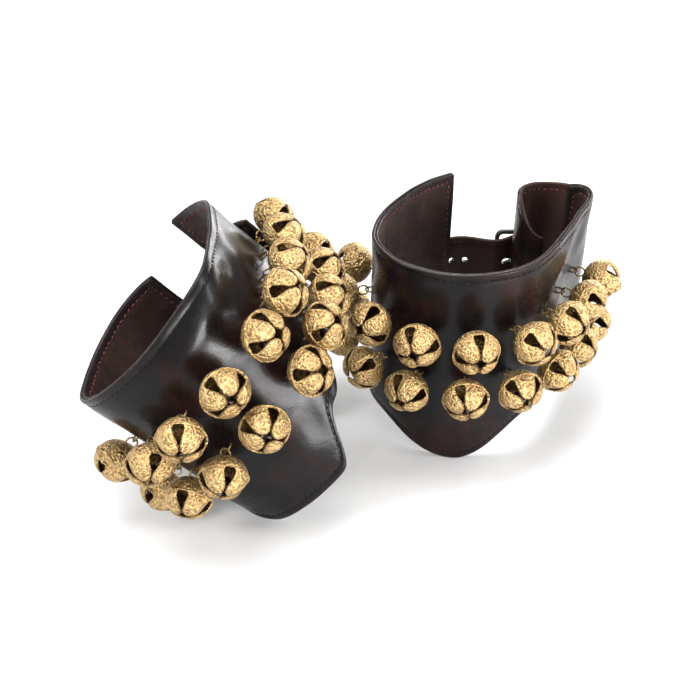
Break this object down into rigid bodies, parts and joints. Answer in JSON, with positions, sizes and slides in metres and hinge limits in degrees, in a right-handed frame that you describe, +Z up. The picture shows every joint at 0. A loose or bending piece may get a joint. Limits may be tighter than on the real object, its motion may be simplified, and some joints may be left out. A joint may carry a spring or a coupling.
{
  "type": "ankle bells",
  "caption": "Leather ankle cuffs carrying rows of slotted brass pellet bells on wire staples, closed by a strap and buckle and rung by the wearer's steps.",
  "frame": {"origin": "on the ground under the middle of the pair", "axes": "+Z up, +X along the pair from the fallen cuff to the upright one, -Y the side the pair is seen from"},
  "size_m": [0.2532, 0.1918, 0.1249],
  "materials": {
    "outer_leather": "glossy, finely creased",
    "lining_leather": "matt suede",
    "strap_leather": "semi-gloss",
    "bell_brass": "hammered, antique",
    "staple_wire": "dull wire",
    "pellet_steel": "dull",
    "black_metal": "semi-gloss black"
  },
  "bodies": {
    "right_cuff": {"right_outer_leather": "outer_leather", "right_lining": "lining_leather", "right_closure_strap": "strap_leather", "right_buckle_flap": "strap_leather", "right_buckle_chape": "strap_leather", "right_strap_keeper": "strap_leather", "right_bell_staples": "staple_wire"},
    "left_cuff": {"left_outer_leather": "outer_leather", "left_lining": "lining_leather", "left_closure_strap": "strap_leather", "left_buckle_flap": "strap_leather", "left_buckle_chape": "strap_leather", "left_strap_keeper": "strap_leather", "left_bell_staples": "staple_wire"},
    "right_pellets": {"right_pellets": "pellet_steel"},
    "right_frame": {"right_buckle_frame": "black_metal"},
    "right_prong": {"right_buckle_prong": "black_metal"},
    "right_upper_bell_1": {"right_upper_bell_1": "bell_brass"},
    "right_upper_bell_2": {"right_upper_bell_2": "bell_brass"},
    "right_upper_bell_3": {"right_upper_bell_3": "bell_brass"},
    "right_upper_bell_4": {"right_upper_bell_4": "bell_brass"},
    "right_upper_bell_5": {"right_upper_bell_5": "bell_brass"},
    "right_upper_bell_6": {"right_upper_bell_6": "bell_brass"},
    "right_upper_bell_7": {"right_upper_bell_7": "bell_brass"},
    "right_upper_bell_8": {"right_upper_bell_8": "bell_brass"},
    "right_upper_bell_9": {"right_upper_bell_9": "bell_brass"},
    "right_lower_bell_1": {"right_lower_bell_1": "bell_brass"},
    "right_lower_bell_2": {"right_lower_bell_2": "bell_brass"},
    "right_lower_bell_3": {"right_lower_bell_3": "bell_brass"},
    "right_lower_bell_4": {"right_lower_bell_4": "bell_brass"},
    "right_lower_bell_5": {"right_lower_bell_5": "bell_brass"},
    "right_lower_bell_6": {"right_lower_bell_6": "bell_brass"},
    "right_lower_bell_7": {"right_lower_bell_7": "bell_brass"},
    "right_lower_bell_8": {"right_lower_bell_8": "bell_brass"},
    "right_lower_bell_9": {"right_lower_bell_9": "bell_brass"},
    "left_pellets": {"left_pellets": "pellet_steel"},
    "left_frame": {"left_buckle_frame": "black_metal"},
    "left_prong": {"left_buckle_prong": "black_metal"},
    "left_upper_bell_1": {"left_upper_bell_1": "bell_brass"},
    "left_upper_bell_2": {"left_upper_bell_2": "bell_brass"},
    "left_upper_bell_3": {"left_upper_bell_3": "bell_brass"},
    "left_upper_bell_4": {"left_upper_bell_4": "bell_brass"},
    "left_upper_bell_5": {"left_upper_bell_5": "bell_brass"},
    "left_upper_bell_6": {"left_upper_bell_6": "bell_brass"},
    "left_upper_bell_7": {"left_upper_bell_7": "bell_brass"},
    "left_upper_bell_8": {"left_upper_bell_8": "bell_brass"},
    "left_upper_bell_9": {"left_upper_bell_9": "bell_brass"},
    "left_lower_bell_1": {"left_lower_bell_1": "bell_brass"},
    "left_lower_bell_2": {"left_lower_bell_2": "bell_brass"},
    "left_lower_bell_3": {"left_lower_bell_3": "bell_brass"},
    "left_lower_bell_4": {"left_lower_bell_4": "bell_brass"},
    "left_lower_bell_5": {"left_lower_bell_5": "bell_brass"},
    "left_lower_bell_6": {"left_lower_bell_6": "bell_brass"},
    "left_lower_bell_7": {"left_lower_bell_7": "bell_brass"},
    "left_lower_bell_8": {"left_lower_bell_8": "bell_brass"},
    "left_lower_bell_9": {"left_lower_bell_9": "bell_brass"}
  },
  "joints": [
    {"name": "left_cuff_lift", "type": "slide", "parent": "right_cuff", "child": "left_cuff", "axis": [-0.7018, -0.5514, 0.4511], "range_m": [0, 0.12]},
    {"name": "right_pellets_rattle", "type": "slide", "parent": "right_cuff", "child": "right_pellets", "axis": [0, 0, 1], "range_m": [0, 0.0015]},
    {"name": "right_frame_swing", "type": "hinge", "parent": "right_cuff", "child": "right_frame", "pos_m": [0.08956, 0.0864, 0.05205], "axis": [0, 0, -1], "range_deg": [0, 1]},
    {"name": "right_prong_swing", "type": "hinge", "parent": "right_cuff", "child": "right_prong", "pos_m": [0.08956, 0.0864, 0.05205], "axis": [0, 0, -1], "range_deg": [0, 6]},
    {"name": "right_upper_bell_1_swing", "type": "hinge", "parent": "right_cuff", "child": "right_upper_bell_1", "pos_m": [0.00524, 0.04004, 0.07555], "axis": [0.4957, 0.8685, 0], "range_deg": [0, 8]},
    {"name": "right_upper_bell_2_swing", "type": "hinge", "parent": "right_cuff", "child": "right_upper_bell_2", "pos_m": [0.00018, 0.01657, 0.07555], "axis": [-0.047, 0.9989, 0], "range_deg": [0, 8]},
    {"name": "right_upper_bell_3_swing", "type": "hinge", "parent": "right_cuff", "child": "right_upper_bell_3", "pos_m": [0.00877, -0.00606, 0.07555], "axis": [-0.8058, 0.5921, 0], "range_deg": [0, 8]},
    {"name": "right_upper_bell_4_swing", "type": "hinge", "parent": "right_cuff", "child": "right_upper_bell_4", "pos_m": [0.02548, -0.01885, 0.07555], "axis": [-0.9698, 0.244, 0], "range_deg": [0, 8]},
    {"name": "right_upper_bell_5_swing", "type": "hinge", "parent": "right_cuff", "child": "right_upper_bell_5", "pos_m": [0.04691, -0.02347, 0.07555], "axis": [-0.9912, -0.1321, 0], "range_deg": [0, 8]},
    {"name": "right_upper_bell_6_swing", "type": "hinge", "parent": "right_cuff", "child": "right_upper_bell_6", "pos_m": [0.0688, -0.01793, 0.07555], "axis": [-0.8261, -0.5636, 0], "range_deg": [0, 8]},
    {"name": "right_upper_bell_7_swing", "type": "hinge", "parent": "right_cuff", "child": "right_upper_bell_7", "pos_m": [0.08485, -0.00376, 0.07555], "axis": [-0.7132, -0.7009, 0], "range_deg": [0, 8]},
    {"name": "right_upper_bell_8_swing", "type": "hinge", "parent": "right_cuff", "child": "right_upper_bell_8", "pos_m": [0.09584, 0.01465, 0.07555], "axis": [-0.4514, -0.8923, 0], "range_deg": [0, 8]},
    {"name": "right_upper_bell_9_swing", "type": "hinge", "parent": "right_cuff", "child": "right_upper_bell_9", "pos_m": [0.10583, 0.03414, 0.07555], "axis": [-0.344, -0.939, 0], "range_deg": [0, 8]},
    {"name": "right_lower_bell_1_swing", "type": "hinge", "parent": "right_cuff", "child": "right_lower_bell_1", "pos_m": [0.00481, 0.0391, 0.05055], "axis": [0.4052, 0.9142, 0], "range_deg": [0, 5]},
    {"name": "right_lower_bell_2_swing", "type": "hinge", "parent": "right_cuff", "child": "right_lower_bell_2", "pos_m": [0.00015, 0.01764, 0.05055], "axis": [0.0651, 0.9979, 0], "range_deg": [0, 5]},
    {"name": "right_lower_bell_3_swing", "type": "hinge", "parent": "right_cuff", "child": "right_lower_bell_3", "pos_m": [0.00749, -0.00437, 0.05055], "axis": [-0.7168, 0.6973, 0], "range_deg": [0, 5]},
    {"name": "right_lower_bell_4_swing", "type": "hinge", "parent": "right_cuff", "child": "right_lower_bell_4", "pos_m": [0.02404, -0.01817, 0.05055], "axis": [-0.8989, 0.4382, 0], "range_deg": [0, 5]},
    {"name": "right_lower_bell_5_swing", "type": "hinge", "parent": "right_cuff", "child": "right_lower_bell_5", "pos_m": [0.04586, -0.02345, 0.05055], "axis": [-0.9996, 0.028, 0], "range_deg": [0, 5]},
    {"name": "right_lower_bell_6_swing", "type": "hinge", "parent": "right_cuff", "child": "right_lower_bell_6", "pos_m": [0.0674, -0.01868, 0.05055], "axis": [-0.9546, -0.2978, 0], "range_deg": [0, 5]},
    {"name": "right_lower_bell_7_swing", "type": "hinge", "parent": "right_cuff", "child": "right_lower_bell_7", "pos_m": [0.08355, -0.0054, 0.05055], "axis": [-0.7812, -0.6242, 0], "range_deg": [0, 5]},
    {"name": "right_lower_bell_8_swing", "type": "hinge", "parent": "right_cuff", "child": "right_lower_bell_8", "pos_m": [0.09493, 0.01286, 0.05055], "axis": [-0.5758, -0.8176, 0], "range_deg": [0, 5]},
    {"name": "right_lower_bell_9_swing", "type": "hinge", "parent": "right_cuff", "child": "right_lower_bell_9", "pos_m": [0.10511, 0.03285, 0.05055], "axis": [-0.4009, -0.9161, 0], "range_deg": [0, 5]},
    {"name": "left_pellets_rattle", "type": "slide", "parent": "left_cuff", "child": "left_pellets", "axis": [0, 0, 1], "range_m": [0, 0.0015]},
    {"name": "left_frame_swing", "type": "hinge", "parent": "left_cuff", "child": "left_frame", "pos_m": [-0.06579, 0.05312, 0.05049], "axis": [0.7144, 0.0157, -0.6996], "range_deg": [0, 1]},
    {"name": "left_prong_swing", "type": "hinge", "parent": "left_cuff", "child": "left_prong", "pos_m": [-0.06579, 0.05312, 0.05049], "axis": [0.7144, 0.0157, -0.6996], "range_deg": [0, 6]},
    {"name": "left_upper_bell_1_swing", "type": "hinge", "parent": "left_cuff", "child": "left_upper_bell_1", "pos_m": [-0.1034, -0.05754, 0.04318], "axis": [-0.2021, 0.9618, -0.1848], "range_deg": [0, 8]},
    {"name": "left_upper_bell_2_swing", "type": "hinge", "parent": "left_cuff", "child": "left_upper_bell_2", "pos_m": [-0.09106, -0.07164, 0.05547], "axis": [-0.689, 0.1906, -0.6993], "range_deg": [0, 8]},
    {"name": "left_upper_bell_3_swing", "type": "hinge", "parent": "left_cuff", "child": "left_upper_bell_3", "pos_m": [-0.07691, -0.07445, 0.06986], "axis": [-0.6996, 0.0385, -0.7135], "range_deg": [0, 8]},
    {"name": "left_upper_bell_4_swing", "type": "hinge", "parent": "left_cuff", "child": "left_upper_bell_4", "pos_m": [-0.06246, -0.06939, 0.08473], "axis": [-0.6163, -0.4593, -0.6397], "range_deg": [0, 8]},
    {"name": "left_upper_bell_5_swing", "type": "hinge", "parent": "left_cuff", "child": "left_upper_bell_5", "pos_m": [-0.04999, -0.05704, 0.09774], "axis": [-0.3673, -0.8426, -0.394], "range_deg": [0, 8]},
    {"name": "left_upper_bell_6_swing", "type": "hinge", "parent": "left_cuff", "child": "left_upper_bell_6", "pos_m": [-0.04364, -0.03908, 0.10463], "axis": [-0.213, -0.9474, -0.2388], "range_deg": [0, 8]},
    {"name": "left_upper_bell_7_swing", "type": "hinge", "parent": "left_cuff", "child": "left_upper_bell_7", "pos_m": [-0.04402, -0.01855, 0.1047], "axis": [0.0617, -0.9973, 0.0406], "range_deg": [0, 8]},
    {"name": "left_upper_bell_8_swing", "type": "hinge", "parent": "left_cuff", "child": "left_upper_bell_8", "pos_m": [-0.04568, 0.00356, 0.1035], "axis": [0.1188, -0.9879, 0.0992], "range_deg": [0, 8]},
    {"name": "left_upper_bell_9_swing", "type": "hinge", "parent": "left_cuff", "child": "left_upper_bell_9", "pos_m": [-0.05057, 0.02576, 0.09901], "axis": [0.4332, -0.7951, 0.4245], "range_deg": [0, 8]},
    {"name": "left_lower_bell_1_swing", "type": "hinge", "parent": "left_cuff", "child": "left_lower_bell_1", "pos_m": [-0.08588, -0.05615, 0.02538], "axis": [-0.2911, 0.9158, -0.2767], "range_deg": [0, 5]},
    {"name": "left_lower_bell_2_swing", "type": "hinge", "parent": "left_cuff", "child": "left_lower_bell_2", "pos_m": [-0.0746, -0.07051, 0.03657], "axis": [-0.6301, 0.4491, -0.6334], "range_deg": [0, 5]},
    {"name": "left_lower_bell_3_swing", "type": "hinge", "parent": "left_cuff", "child": "left_lower_bell_3", "pos_m": [-0.06015, -0.07412, 0.05124], "axis": [-0.682, 0.2392, -0.6911], "range_deg": [0, 5]},
    {"name": "left_lower_bell_4_swing", "type": "hinge", "parent": "left_cuff", "child": "left_lower_bell_4", "pos_m": [-0.04526, -0.06942, 0.06656], "axis": [-0.6564, -0.3314, -0.6777], "range_deg": [0, 5]},
    {"name": "left_lower_bell_5_swing", "type": "hinge", "parent": "left_cuff", "child": "left_lower_bell_5", "pos_m": [-0.03213, -0.05665, 0.08025], "axis": [-0.3878, -0.8233, -0.4145], "range_deg": [0, 5]},
    {"name": "left_lower_bell_6_swing", "type": "hinge", "parent": "left_cuff", "child": "left_lower_bell_6", "pos_m": [-0.02578, -0.03869, 0.08714], "axis": [-0.2703, -0.916, -0.2966], "range_deg": [0, 5]},
    {"name": "left_lower_bell_7_swing", "type": "hinge", "parent": "left_cuff", "child": "left_lower_bell_7", "pos_m": [-0.02616, -0.01816, 0.08721], "axis": [-0.0846, -0.9905, -0.1086], "range_deg": [0, 5]},
    {"name": "left_lower_bell_8_swing", "type": "hinge", "parent": "left_cuff", "child": "left_lower_bell_8", "pos_m": [-0.02782, 0.00396, 0.08601], "axis": [0.0583, -0.9976, 0.0371], "range_deg": [0, 5]},
    {"name": "left_lower_bell_9_swing", "type": "hinge", "parent": "left_cuff", "child": "left_lower_bell_9", "pos_m": [-0.03287, 0.02662, 0.08136], "axis": [0.4561, -0.7686, 0.4485], "range_deg": [0, 5]}
  ]
}
